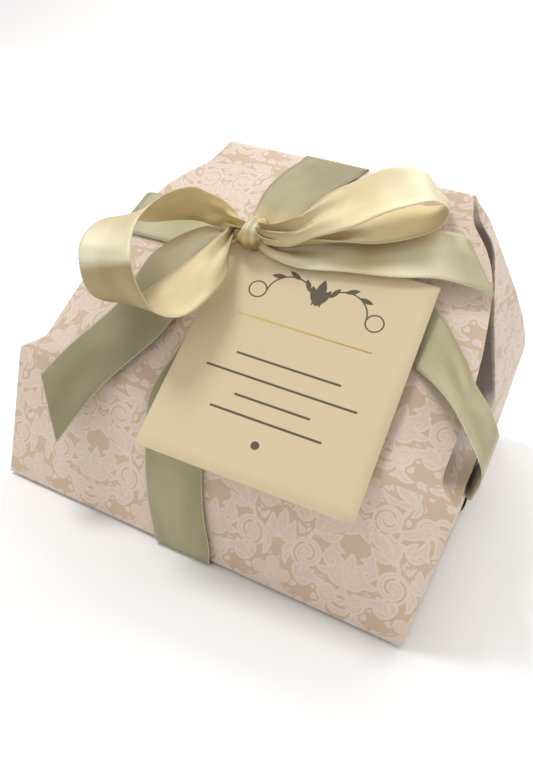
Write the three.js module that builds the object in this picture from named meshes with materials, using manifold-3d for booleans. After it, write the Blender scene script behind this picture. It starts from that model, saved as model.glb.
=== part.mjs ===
// A low panettone of about 500 g, in its baking case and clear bag, gift-wrapped in a folded
// sheet of printed paper and tied crosswise with satin ribbon, a bow and a card tag.
// Millimetres, +Z up. The origin is where the two ribbon bands cross under the base, on the
// surface the parcel stands on. +X runs along the ridge and the tag hangs on the -Y side.
import * as THREE from "three";
import { mergeVertices } from "three/addons/utils/BufferGeometryUtils.js";
import Module from "manifold-3d";

const wasm = await Module();
wasm.setup();

// ---- driving dimensions ----
const GAP = 0.3;
const RIBBON_THICKNESS = 0.5;
const CARD_THICKNESS = 0.5;
const FLOOR = RIBBON_THICKNESS / 2;

const WRAP_BASE_Z = 1.6;
const BASE_LENGTH = 182;
const BASE_DEPTH = 200;
const CREASE_DEPTH = 179;
const CREASE_HEIGHT = 56.3;
const RIDGE_HEIGHT = 140.6;
const RIDGE_Y = 8.6;
const MOUTH_WIDTH = 4;
const PAPER_WALL = 0.9;
const PANEL_BULGE = 8;

const LOAF_RADIUS = 82;
const SHOULDER_Z = 45;
const LOAF_DOME = 45;
const CASE_WALL = 0.7;
const FILM = 0.4;
const NECK_RADIUS = 5;
const NECK_Z = 100;
const FRILL_RADIUS = 8;
const FRILL_Z = 116;
const LATHE_SIDES = 56;

const TAG_WIDTH = 85;
const TAG_HEIGHT = 97;
const TAG_HOLE_RADIUS = 3.5;
const TAG_HOLE = [10 - TAG_WIDTH / 2, TAG_HEIGHT / 2 - 9];

const KNOT_RADII = [6.5, 8.5, 4.5];
const KNOT_NECK_RADIUS = 2.2;

// ---- the sloping panels ----
// A panel is flat from the crease up to the ridge and bulges a little where the loaf fills it.
// Points on it are given as x, slant (distance up the slope from the crease) and lift (height
// above the flat slope).
const CREASE_Z = WRAP_BASE_Z + CREASE_HEIGHT;
const RIDGE_Z = WRAP_BASE_Z + RIDGE_HEIGHT;
const FRONT_RUN = RIDGE_Y + CREASE_DEPTH / 2;
const BACK_RUN = CREASE_DEPTH / 2 - RIDGE_Y - MOUTH_WIDTH;
const RISE = RIDGE_HEIGHT - CREASE_HEIGHT;
const FRONT_SLANT = Math.hypot(FRONT_RUN, RISE);
const BACK_SLANT = Math.hypot(BACK_RUN, RISE);

// Half-width of a panel at shares of its slant: an ear at the crease, a notch beside it, then
// shoulders that curve in to the ridge.
const PANEL_OUTLINE = [
  [0, 94.5],
  [0.01, 91],
  [0.037, 88],
  [0.06, 86],
  [0.17, 86],
  [0.3, 86],
  [0.46, 84],
  [0.58, 81.5],
  [0.68, 79],
  [0.76, 75],
  [0.82, 70.5],
  [0.9, 62],
  [1, 58],
];

// Where the gusset at each end folds, at the same shares: how deep the pleat goes in behind
// the front panel, and how far out the fold on the end's middle line stands.
const PLEAT_DEPTH = [0, 0.5, 3, 5, 13, 20, 24, 24, 20, 16, 12, 5, 0.8];
const MIDDLE_FOLD = [93, 92.6, 92, 91.5, 88.5, 85, 80.5, 77.5, 75, 73, 70, 63, 58.4];

function panelHalfWidth(share) {
  const i = Math.max(1, PANEL_OUTLINE.findIndex(([s]) => s >= share));
  const [s0, w0] = PANEL_OUTLINE[i - 1];
  const [s1, w1] = PANEL_OUTLINE[i];
  return w0 + ((w1 - w0) * (share - s0)) / (s1 - s0);
}

function bulge(x, share) {
  if (share <= 0 || share >= 1) return 0;
  const across = Math.max(0, 1 - (x / panelHalfWidth(share)) ** 2);
  return PANEL_BULGE * Math.sin(Math.PI * share) ** 0.8 * across ** 2;
}

function front(x, slant, lift) {
  const along = slant / FRONT_SLANT;
  const y = -CREASE_DEPTH / 2 + FRONT_RUN * along - (RISE / FRONT_SLANT) * lift;
  const z = CREASE_Z + RISE * along + (FRONT_RUN / FRONT_SLANT) * lift;
  return new THREE.Vector3(x, y, z);
}

function back(x, slant, lift) {
  const along = slant / BACK_SLANT;
  const y = CREASE_DEPTH / 2 - BACK_RUN * along + (RISE / BACK_SLANT) * lift;
  const z = CREASE_Z + RISE * along + (BACK_RUN / BACK_SLANT) * lift;
  return new THREE.Vector3(x, y, z);
}

// A point that lies a clearance above the bulging paper rather than above the flat slope.
function onFront(x, slant, clearance) {
  return front(x, slant, bulge(x, slant / FRONT_SLANT) + clearance);
}

function onBack(x, slant, clearance) {
  return back(x, slant, bulge(x, slant / BACK_SLANT) + clearance);
}

function at(x, y, z) {
  return new THREE.Vector3(x, y, z);
}

// ---- shared builders ----
function closedMesh(points, triangles) {
  const geometry = new THREE.BufferGeometry();
  geometry.setAttribute("position", new THREE.Float32BufferAttribute(points, 3));
  geometry.setIndex(triangles);
  return geometry;
}

function toManifold(geometry) {
  const bare = geometry.clone();
  bare.deleteAttribute("normal");
  bare.deleteAttribute("uv");
  const merged = mergeVertices(bare, 1e-4);
  return new wasm.Manifold(
    new wasm.Mesh({
      numProp: 3,
      vertProperties: new Float32Array(merged.attributes.position.array),
      triVerts: new Uint32Array(merged.index.array),
    }),
  );
}

function fromManifold(solid) {
  const mesh = solid.getMesh();
  return closedMesh(Array.from(mesh.vertProperties), Array.from(mesh.triVerts));
}

// A lathe profile is a list of [radius, z], from the axis and back to it.
function turned(profile) {
  const points = profile.map(([r, z]) => new THREE.Vector2(r, z));
  return new THREE.LatheGeometry(points, LATHE_SIDES).rotateX(Math.PI / 2);
}

// Stations are pairs of edge points. The strip runs through them on smooth curves, never dips
// below the surface the parcel stands on, and is given its thickness evenly on both sides.
function ribbonStrip(stations, stepsPerStation = 4) {
  const steps = (stations.length - 1) * stepsPerStation;
  const near = new THREE.CatmullRomCurve3(stations.map((s) => s[0]), false, "centripetal");
  const far = new THREE.CatmullRomCurve3(stations.map((s) => s[1]), false, "centripetal");
  const points = [];
  for (let i = 0; i <= steps; i++) {
    const t = i / steps;
    const a = near.getPoint(t);
    const b = far.getPoint(t);
    a.z = Math.max(a.z, FLOOR);
    b.z = Math.max(b.z, FLOOR);
    const along = near.getTangent(t).add(far.getTangent(t));
    const normal = b.clone().sub(a).cross(along).normalize();
    const half = normal.multiplyScalar(RIBBON_THICKNESS / 2);
    for (const corner of [a.clone().add(half), b.clone().add(half)]) points.push(...corner);
    for (const corner of [b.clone().sub(half), a.clone().sub(half)]) points.push(...corner);
  }
  const triangles = [];
  for (let i = 0; i < steps; i++) {
    for (let side = 0; side < 4; side++) {
      const p = i * 4 + side;
      const q = i * 4 + ((side + 1) % 4);
      triangles.push(p, q, q + 4, p, q + 4, p + 4);
    }
  }
  const last = steps * 4;
  triangles.push(0, 2, 1, 0, 3, 2);
  triangles.push(last, last + 1, last + 2, last, last + 2, last + 3);
  return closedMesh(points, triangles);
}

// ---- wrapping paper ----
// The paper's outline at one height, anticlockwise from above: across the front panel, round
// the pleated right end, back across the rear panel and round the left end.
const PANEL_STEPS = 8;

function paperOutline(level) {
  const { y0, y1, half, pleat, middle, share } = level;
  const outline = [];
  for (let i = 0; i <= PANEL_STEPS; i++) {
    const x = half * ((2 * i) / PANEL_STEPS - 1);
    outline.push([x, y0 - (bulge(x, share) * FRONT_SLANT) / RISE]);
  }
  const yMiddle = (y0 + y1) / 2;
  const pleatX = half + (middle - half) / 2 - pleat;
  outline.push([pleatX, (y0 + yMiddle) / 2], [middle, yMiddle]);
  for (let i = 0; i <= PANEL_STEPS; i++) {
    const x = half * (1 - (2 * i) / PANEL_STEPS);
    outline.push([x, y1 + (bulge(x, share) * BACK_SLANT) / RISE]);
  }
  outline.push([-middle, yMiddle], [-pleatX, (y0 + yMiddle) / 2]);
  return outline;
}

// The same outline moved inwards by the paper's thickness.
function inset(outline, distance) {
  const n = outline.length;
  return outline.map((p, i) => {
    const before = outline[(i + n - 1) % n];
    const after = outline[(i + 1) % n];
    const u = new THREE.Vector2(p[0] - before[0], p[1] - before[1]).normalize();
    const v = new THREE.Vector2(after[0] - p[0], after[1] - p[1]).normalize();
    const mitre = distance / (1 + u.dot(v));
    return [p[0] + (-u.y - v.y) * mitre, p[1] + (u.x + v.x) * mitre];
  });
}

function wrapSheet() {
  const levels = [
    {
      z: WRAP_BASE_Z,
      y0: -BASE_DEPTH / 2,
      y1: BASE_DEPTH / 2,
      half: BASE_LENGTH / 2,
      pleat: 0,
      middle: BASE_LENGTH / 2,
      share: 0,
    },
  ];
  PANEL_OUTLINE.forEach(([share, half], i) => {
    levels.push({
      z: CREASE_Z + RISE * share,
      y0: -CREASE_DEPTH / 2 + FRONT_RUN * share,
      y1: CREASE_DEPTH / 2 - BACK_RUN * share,
      half,
      pleat: PLEAT_DEPTH[i],
      middle: MIDDLE_FOLD[i],
      share,
    });
  });
  const outlines = levels.map(paperOutline);
  const n = outlines[0].length;
  const points = [];
  outlines.forEach((outline, i) => {
    for (const [x, y] of outline) points.push(x, y, levels[i].z);
  });
  outlines.forEach((outline, i) => {
    const lift = i === 0 ? PAPER_WALL : 0;
    for (const [x, y] of inset(outline, PAPER_WALL)) points.push(x, y, levels[i].z + lift);
  });
  const inner = levels.length * n;
  const triangles = [];
  for (let level = 0; level < levels.length - 1; level++) {
    for (let i = 0; i < n; i++) {
      const a = level * n + i;
      const b = level * n + ((i + 1) % n);
      triangles.push(a, b, b + n, a, b + n, a + n);
      triangles.push(inner + a, inner + b + n, inner + b, inner + a, inner + a + n, inner + b + n);
    }
  }
  const top = (levels.length - 1) * n;
  for (let i = 0; i < n; i++) {
    const a = top + i;
    const b = top + ((i + 1) % n);
    triangles.push(a, b, inner + b, a, inner + b, inner + a);
  }
  const floor = outlines[0].map(([x, y]) => new THREE.Vector2(x, y));
  for (const [a, b, c] of THREE.ShapeUtils.triangulateShape(floor, [])) {
    triangles.push(a, c, b);
    triangles.push(inner + a, inner + b, inner + c);
  }
  return closedMesh(points, triangles);
}

// ---- what the paper holds ----
const BAG_FLOOR_Z = WRAP_BASE_Z + PAPER_WALL + GAP;
const CASE_FLOOR_Z = BAG_FLOOR_Z + FILM + GAP;
const LOAF_FLOOR_Z = CASE_FLOOR_Z + CASE_WALL + GAP;
const CASE_RADIUS = LOAF_RADIUS + GAP + CASE_WALL;
const BAG_RADIUS = CASE_RADIUS + GAP + FILM;

function dome(radius, height, to, steps) {
  const profile = [];
  for (let i = 0; i <= steps; i++) {
    const angle = (to * i) / steps;
    profile.push([radius * Math.cos(angle), SHOULDER_Z + height * Math.sin(angle)]);
  }
  return profile;
}

function loaf() {
  const crown = dome(LOAF_RADIUS, LOAF_DOME, Math.PI / 2, 14);
  crown[crown.length - 1][0] = 0;
  return turned([[0, LOAF_FLOOR_Z], [LOAF_RADIUS, LOAF_FLOOR_Z], ...crown]);
}

function bakingCase() {
  return turned([
    [0, CASE_FLOOR_Z],
    [CASE_RADIUS, CASE_FLOOR_Z],
    [CASE_RADIUS, SHOULDER_Z],
    [CASE_RADIUS - CASE_WALL, SHOULDER_Z],
    [CASE_RADIUS - CASE_WALL, CASE_FLOOR_Z + CASE_WALL],
    [0, CASE_FLOOR_Z + CASE_WALL],
  ]);
}

function foodBag() {
  const outer = dome(BAG_RADIUS, LOAF_DOME + 2.5, 1.45, 14);
  const inner = dome(BAG_RADIUS - FILM, LOAF_DOME + 2.5 - FILM, 1.45, 14);
  return turned([
    [0, BAG_FLOOR_Z],
    [BAG_RADIUS, BAG_FLOOR_Z],
    ...outer,
    [NECK_RADIUS, NECK_Z],
    [NECK_RADIUS, NECK_Z + 4],
    [FRILL_RADIUS, FRILL_Z],
    [FRILL_RADIUS - FILM, FRILL_Z],
    [NECK_RADIUS - FILM, NECK_Z + 4],
    [NECK_RADIUS - FILM, NECK_Z],
    ...inner.reverse(),
    [BAG_RADIUS - FILM, BAG_FLOOR_Z + FILM],
    [0, BAG_FLOOR_Z + FILM],
  ]);
}

function bagTie() {
  const inside = NECK_RADIUS + GAP;
  return turned([
    [inside, NECK_Z + 0.8],
    [inside + 1.2, NECK_Z + 0.8],
    [inside + 1.2, NECK_Z + 3],
    [inside, NECK_Z + 3],
    [inside, NECK_Z + 0.8],
  ]);
}

// ---- ribbon bands ----
const HALF_RIBBON = 12.5;
const OVER = FLOOR + RIBBON_THICKNESS + GAP;
const BASE_EDGE_Y = BASE_DEPTH / 2;
const BASE_EDGE_X = BASE_LENGTH / 2;

function lengthwiseBand() {
  const acrossBase = [1, 0.97, 0.5, 0, -0.5, -0.97, -1];
  return ribbonStrip([
    [onFront(-19, 74, 0.9), onFront(-9, 74, 0.9)],
    [onFront(-24, 88, 1), onFront(-5, 88, 1)],
    [onFront(-26, 105, 1), onFront(0, 105, 1)],
    [onFront(-23, 119, 1), onFront(6, 119, 1)],
    [front(-20, 127, 1.2), front(9, 127, 1.2)],
    [at(-19, RIDGE_Y + 2, RIDGE_Z + 1.6), at(10, RIDGE_Y + 2, RIDGE_Z + 1.6)],
    [back(-18, 109, 1.8), back(10, 109, 1.8)],
    [onBack(-16, 90, 1.4), onBack(11, 90, 1.4)],
    [onBack(-14, 50, 1.6), onBack(12, 50, 1.6)],
    [onBack(-13, 20, 1.6), onBack(12, 20, 1.6)],
    [back(-HALF_RIBBON, 2, 2.5), back(HALF_RIBBON, 2, 2.5)],
    [at(-HALF_RIBBON, 95, 40), at(HALF_RIBBON, 95, 40)],
    [at(-HALF_RIBBON, BASE_EDGE_Y + 1, 8), at(HALF_RIBBON, BASE_EDGE_Y + 1, 8)],
    [at(-HALF_RIBBON, BASE_EDGE_Y + 2.2, 2), at(HALF_RIBBON, BASE_EDGE_Y + 2.2, 2)],
    ...acrossBase.map((share) => [
      at(-HALF_RIBBON, BASE_EDGE_Y * share, FLOOR),
      at(HALF_RIBBON, BASE_EDGE_Y * share, FLOOR),
    ]),
    [at(-HALF_RIBBON, -BASE_EDGE_Y - 2.2, 2), at(HALF_RIBBON, -BASE_EDGE_Y - 2.2, 2)],
    [at(-15, -BASE_EDGE_Y - 1.4, 8), at(11, -BASE_EDGE_Y - 1.4, 8)],
    [at(-20, -99.5, 20), at(6, -99.5, 20)],
    [at(-25, -96, 38), at(1, -96, 38)],
    [front(-27, -1, 3.5), front(-1, -1, 3.5)],
    [onFront(-25, 18, 2), onFront(-1, 18, 2)],
    [onFront(-23, 40, 1.2), onFront(-1, 40, 1.2)],
    [onFront(-21, 57, 1), onFront(-6, 57, 1)],
    [onFront(-18, 70, 0.9), onFront(-10, 70, 0.9)],
  ]);
}

function crosswiseBand() {
  const halfBase = [
    [BASE_EDGE_X + 2.2, 8],
    [BASE_EDGE_X + 2.2, 2],
    [BASE_EDGE_X + 0.1, FLOOR],
    [BASE_EDGE_X - 4, FLOOR],
    [36, FLOOR],
    [30, FLOOR],
    [20, OVER],
    [14, OVER],
  ];
  const otherHalf = halfBase.map(([x, z]) => [-x, z]).reverse();
  const underBase = [...halfBase, ...otherHalf];
  return ribbonStrip([
    [onFront(-12, 69, 2), onFront(-12, 76, 2)],
    [onFront(2, 63, 1.5), onFront(2, 82, 1.5)],
    [onFront(24, 56, 1), onFront(28, 79, 1)],
    [onFront(45, 52, 1), onFront(52, 77, 1)],
    [front(62, 45, 3.2), front(67, 67, 2.8)],
    [front(73, 38, 8), front(78, 55, 2)],
    [front(82, 30, 12), front(86, 45, 2)],
    [front(90, 21, 14), front(94, 36, 3)],
    [at(98, -91, 75), at(98.5, -68, 79)],
    [at(99, -84, 61), at(99, -61, 72)],
    [at(98.5, -62, 43), at(98, -42, 56)],
    [at(95.5, -32, 16), at(95.5, -8, 24)],
    ...underBase.map(([x, z]) => [at(x, -HALF_RIBBON, z), at(x, HALF_RIBBON, z)]),
    [at(-95, -14, 30), at(-95, 11, 30)],
    [at(-96, -18, 58), at(-96, 7, 58)],
    [at(-91, -29, 82), at(-89, -4, 86)],
    [at(-86, -39, 100), at(-83, -20, 116)],
    [onFront(-78, 67, 1.2), onFront(-74, 91, 1.2)],
    [onFront(-64, 67, 1), onFront(-60, 91, 1)],
    [onFront(-42, 66, 1), onFront(-42, 87, 1)],
    [onFront(-24, 68, 1.6), onFront(-24, 79, 1.6)],
    [onFront(-14, 69, 2), onFront(-14, 76, 2)],
  ]);
}

// ---- where the tag hangs ----
// The card leans on the front panel: its middle, and its across and up directions, are in the
// panel's own x, slant and lift.
const TAG_MIDDLE = [20.7, 27.7, 7.6];
const TAG_ACROSS = [0.9965, 0.039, -0.0745];
const TAG_UP = [-0.035, 0.9982, 0.048];

function tagFrame() {
  const origin = front(0, 0, 0);
  const across = front(...TAG_ACROSS).sub(origin).normalize();
  const out = across.clone().cross(front(...TAG_UP).sub(origin)).normalize();
  const up = out.clone().cross(across);
  return new THREE.Matrix4().makeBasis(across, up, out).setPosition(front(...TAG_MIDDLE));
}

function tagPoint(x, y) {
  return at(x, y, 0).applyMatrix4(tagFrame());
}

// ---- bow ----
const KNOT = [-14, 72, 19];
const KNOT_NECK_LENGTH = 8;

function bowKnot() {
  const tilt = new THREE.Matrix4().makeRotationX(Math.atan2(RISE, FRONT_RUN));
  const body = new THREE.SphereGeometry(1, 32, 20).scale(...KNOT_RADII).applyMatrix4(tilt);
  body.translate(...front(...KNOT));
  const neck = new THREE.CylinderGeometry(
    KNOT_NECK_RADIUS,
    KNOT_NECK_RADIUS,
    KNOT_NECK_LENGTH,
    20,
  );
  neck.translate(0, KNOT_NECK_LENGTH / 2 - 1.2, 0);
  neck.rotateX(Math.PI / 2).applyMatrix4(tilt);
  neck.translate(...tagPoint(...TAG_HOLE));
  return fromManifold(toManifold(body).add(toManifold(neck)));
}

function bowStrip(stations, stepsPerStation) {
  return ribbonStrip(stations.map(([a, b]) => [front(...a), front(...b)]), stepsPerStation);
}

// Each station holds the edge nearer to the front and the other edge, as x, slant and lift.
function leftLoop() {
  return bowStrip([
    [[-21.5, 76, 21], [-21.5, 70, 21]],
    [[-29, 78, 25], [-34, 75, 13]],
    [[-35, 77, 30], [-43, 77, 10]],
    [[-38, 75, 34], [-50, 73, 13]],
    [[-44, 65, 39], [-58, 64, 19]],
    [[-47, 50, 41], [-69, 53, 30]],
    [[-42, 35, 41], [-67, 34, 36]],
    [[-37, 27, 38], [-58, 21, 27]],
    [[-25, 19, 33], [-47, 24, 22]],
    [[-18, 23, 28], [-37, 37, 22]],
    [[-14, 36, 24], [-27, 54, 24]],
    [[-14, 50, 21], [-25, 62, 22]],
    [[-21.2, 68, 18.5], [-22, 75, 18.5]],
  ]);
}

function rightLoop() {
  return bowStrip([
    [[-6.5, 69, 21], [-6.5, 76, 21]],
    [[3, 70, 21], [2, 85, 22]],
    [[11, 75, 22], [9, 95, 24]],
    [[24, 82, 24], [19, 105, 24]],
    [[35, 91, 26], [26, 114, 23]],
    [[47, 99, 27], [39, 121, 18]],
    [[51, 102, 25], [46, 121, 9]],
    [[55, 103, 20], [50, 121, 4]],
    [[54, 99, 17], [47, 119, 3]],
    [[46, 92, 15], [36, 113, 6]],
    [[33, 84, 15], [25, 105, 8]],
    [[10, 76, 16], [6, 87, 12]],
    [[-6.5, 69, 18.5], [-6.5, 75, 18.5]],
  ]);
}

function leftTail() {
  return bowStrip([
    [[-21, 67, 16], [-22, 72, 16.5]],
    [[-27, 59, 13], [-36, 70, 17]],
    [[-31, 43, 9.5], [-52, 53, 14]],
    [[-34, 24, 7], [-58, 31, 8]],
    [[-48, -5, 3], [-70, 7, 4]],
    [[-57, -31, -4], [-76, -9, 2]],
  ]);
}

function rightTail() {
  return bowStrip([
    [[-6.5, 67, 16], [-6.5, 72, 16]],
    [[8, 66, 14], [4, 79, 12]],
    [[25, 70, 12.5], [18, 91, 9.5]],
    [[46, 75, 11], [37, 99, 8]],
    [[60, 80, 9.5], [52, 103, 8]],
    [[72, 82, 7], [62, 103, 8]],
    [[81, 82, 5], [65, 101, 9]],
  ]);
}

// ---- tag ----
function giftTag() {
  const outline = new THREE.Shape();
  outline.moveTo(-TAG_WIDTH / 2, -TAG_HEIGHT / 2);
  outline.lineTo(TAG_WIDTH / 2, -TAG_HEIGHT / 2);
  outline.lineTo(TAG_WIDTH / 2, TAG_HEIGHT / 2);
  outline.lineTo(-TAG_WIDTH / 2, TAG_HEIGHT / 2);
  const hole = new THREE.Path();
  hole.absarc(...TAG_HOLE, TAG_HOLE_RADIUS, 0, 2 * Math.PI, true);
  outline.holes.push(hole);
  const card = new THREE.ExtrudeGeometry(outline, {
    depth: CARD_THICKNESS,
    bevelEnabled: false,
    curveSegments: 24,
  });
  card.translate(0, 0, -CARD_THICKNESS / 2);
  return card.applyMatrix4(tagFrame());
}

// ---- assembly ----
const PAPER = { color: "#e3c2ac", roughness: 0.75, metalness: 0 };
const SAGE = { color: "#a9a585", roughness: 0.4, metalness: 0 };
const CREAM = { color: "#ddd09c", roughness: 0.35, metalness: 0 };
const CARD = { color: "#e2cda4", roughness: 0.7, metalness: 0 };
const CRUST = { color: "#8a4b22", roughness: 0.8, metalness: 0 };
const KRAFT = { color: "#6b4126", roughness: 0.85, metalness: 0 };
const CLEAR = { color: "#f2f4f4", roughness: 0.15, metalness: 0 };
const WHITE = { color: "#f5f5f2", roughness: 0.5, metalness: 0 };

const PIECES = [
  ["wrap_sheet", wrapSheet(), PAPER],
  ["panettone_loaf", loaf(), CRUST],
  ["baking_case", bakingCase(), KRAFT],
  ["food_bag", foodBag(), CLEAR],
  ["bag_tie", bagTie(), WHITE],
  ["ribbon_band_lengthwise", lengthwiseBand(), SAGE],
  ["ribbon_band_crosswise", crosswiseBand(), SAGE],
  ["bow_knot", bowKnot(), CREAM],
  ["bow_loop_left", leftLoop(), CREAM],
  ["bow_loop_right", rightLoop(), CREAM],
  ["bow_tail_left", leftTail(), SAGE],
  ["bow_tail_right", rightTail(), SAGE],
  ["gift_tag", giftTag(), CARD],
];

const parcel = new THREE.Group();
for (const [name, geometry, finish] of PIECES) {
  const mesh = new THREE.Mesh(geometry, new THREE.MeshStandardMaterial(finish));
  mesh.name = name;
  parcel.add(mesh);
}

export default parcel;
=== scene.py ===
import math

import bpy
import numpy as np
from mathutils import Matrix, Vector, noise


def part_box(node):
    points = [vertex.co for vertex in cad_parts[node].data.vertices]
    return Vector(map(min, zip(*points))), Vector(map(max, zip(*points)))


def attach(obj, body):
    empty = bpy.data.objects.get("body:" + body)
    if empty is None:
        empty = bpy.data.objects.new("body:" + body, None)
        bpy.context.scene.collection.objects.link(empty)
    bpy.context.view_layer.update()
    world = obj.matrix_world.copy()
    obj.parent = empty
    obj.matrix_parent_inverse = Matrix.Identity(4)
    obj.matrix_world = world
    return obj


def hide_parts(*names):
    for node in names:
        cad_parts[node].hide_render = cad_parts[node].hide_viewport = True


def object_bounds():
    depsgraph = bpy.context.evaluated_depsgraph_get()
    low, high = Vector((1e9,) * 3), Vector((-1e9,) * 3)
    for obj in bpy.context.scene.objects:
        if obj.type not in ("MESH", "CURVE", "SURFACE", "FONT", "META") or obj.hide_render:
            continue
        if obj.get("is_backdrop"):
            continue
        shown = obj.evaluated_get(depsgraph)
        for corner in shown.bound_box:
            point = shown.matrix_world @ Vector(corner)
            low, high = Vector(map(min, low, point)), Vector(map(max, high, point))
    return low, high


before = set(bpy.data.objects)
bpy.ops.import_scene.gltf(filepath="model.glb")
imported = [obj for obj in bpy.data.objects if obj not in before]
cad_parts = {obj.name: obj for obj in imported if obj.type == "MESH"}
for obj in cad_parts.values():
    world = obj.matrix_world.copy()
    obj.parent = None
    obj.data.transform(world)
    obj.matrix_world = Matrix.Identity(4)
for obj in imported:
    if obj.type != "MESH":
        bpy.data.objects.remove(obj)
cad_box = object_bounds()

MM = 0.001


# ---- the parcel's own measures ----
def box_mm(node):
    """A CAD node's lowest and highest corners, in millimetres."""
    low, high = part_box(node)
    return np.array(low) / MM, np.array(high) / MM


wrap_low, wrap_high = box_mm("wrap_sheet")
BASE_Z = wrap_low[2]
RIDGE_Z = wrap_high[2]
BASE_HALF_DEPTH = wrap_high[1]
CREASE_HALF_LENGTH = wrap_high[0]
# The end walls lean in towards the base, most at the front: half lengths of the base.
BASE_HALF_LENGTH = CREASE_HALF_LENGTH - 3.5
MIDDLE_BASE = CREASE_HALF_LENGTH - 2
REAR_BASE = CREASE_HALF_LENGTH - 0.5
CREASE_HALF_DEPTH = 89.5
CREASE_Z = BASE_Z + 56.3
RIDGE_Y = 8.6
MOUTH_WIDTH = 4
PANEL_BULGE = 8
PAPER_THICKNESS = 0.35
RIBBON_THICKNESS = 0.3
RIBBON_WIDTH = 25
FLOOR = 0.25

# The slopes: how far each runs from its crease to the ridge, how high, and along its own slant.
FRONT_RUN = RIDGE_Y + CREASE_HALF_DEPTH
BACK_RUN = CREASE_HALF_DEPTH - RIDGE_Y - MOUTH_WIDTH
RISE = RIDGE_Z - CREASE_Z
FRONT_SLANT = math.hypot(FRONT_RUN, RISE)
BACK_SLANT = math.hypot(BACK_RUN, RISE)

# Up the slopes, at these shares of the slant: the front and rear panels' half widths, how deep
# the end pleats go, and how far out the fold in the middle of each end lies.
SHARES = [0, 0.01, 0.037, 0.06, 0.17, 0.3, 0.46, 0.58, 0.68, 0.76, 0.82, 0.9, 1]
HALF_WIDTHS = [94.5, 91, 88, 86, 86, 86, 84, 81.5, 79, 75, 70.5, 62, 58]
REAR_HALF_WIDTHS = [94.5, 94.5, 94.5, 94.3, 92.4, 89, 83.5, 78.5, 74.5, 71, 68.5, 65, 58]
PLEAT_DEPTHS = [0, 0.5, 3, 6, 18, 28, 34, 34, 29, 23, 17, 7, 0.8]
MIDDLE_FOLDS = [93, 92.6, 92, 91.5, 88.5, 85, 80.5, 77.5, 75, 73, 70, 63, 58.4]
EASED_SHARE = 0.014


def eased(table, share):
    """A table's value at a share of the slant, with its corners rounded a little."""
    near = [min(1, max(0, share + step * EASED_SHARE)) for step in (-1, 0, 1)]
    return float(np.mean(np.interp(near, SHARES, table)))


def bulge(x, share):
    """How far a panel stands out of its flat plane."""
    if share <= 0 or share >= 1:
        return 0.0
    half = float(np.interp(share, SHARES, HALF_WIDTHS))
    across = max(0.0, 1 - (x / half) ** 2)
    return PANEL_BULGE * math.sin(math.pi * share) ** 0.8 * across**2


def slope_point(side, run, length, x, slant, lift):
    """A point from its place across, up a slope from its crease, and out from it."""
    along = slant / length
    y = side * (CREASE_HALF_DEPTH - run * along + RISE / length * lift)
    return np.array([x, y, CREASE_Z + RISE * along + run / length * lift])


def front(x, slant, lift):
    return slope_point(-1, FRONT_RUN, FRONT_SLANT, x, slant, lift)


def back(x, slant, lift):
    return slope_point(1, BACK_RUN, BACK_SLANT, x, slant, lift)


def on_front(x, slant, clearance):
    """A point that stands clear of the bulging front panel."""
    return front(x, slant, bulge(x, slant / FRONT_SLANT) + clearance)


def on_back(x, slant, clearance):
    return back(x, slant, bulge(x, slant / BACK_SLANT) + clearance)


def at(x, y, z):
    return np.array([x, y, z], dtype=float)


# ---- shader building ----
def srgb(red, green, blue):
    """A linear colour from 0-255 display values."""
    channels = []
    for value in (red, green, blue):
        share = value / 255
        channels.append(share / 12.92 if share <= 0.04045 else ((share + 0.055) / 1.055) ** 2.4)
    return (*channels, 1.0)


class Signal:
    """A number that a material works out at each point; arithmetic on it adds Math nodes."""

    def __init__(self, look, socket):
        self.look = look
        self.socket = socket

    def __add__(self, other):
        return self.look.math("ADD", self, other)

    def __sub__(self, other):
        return self.look.math("SUBTRACT", self, other)

    def __mul__(self, other):
        return self.look.math("MULTIPLY", self, other)

    def __truediv__(self, other):
        return self.look.math("DIVIDE", self, other)

    def __rsub__(self, other):
        return self.look.math("SUBTRACT", other, self)

    def __abs__(self):
        return self.look.math("ABSOLUTE", self)

    __radd__ = __add__
    __rmul__ = __mul__


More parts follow.
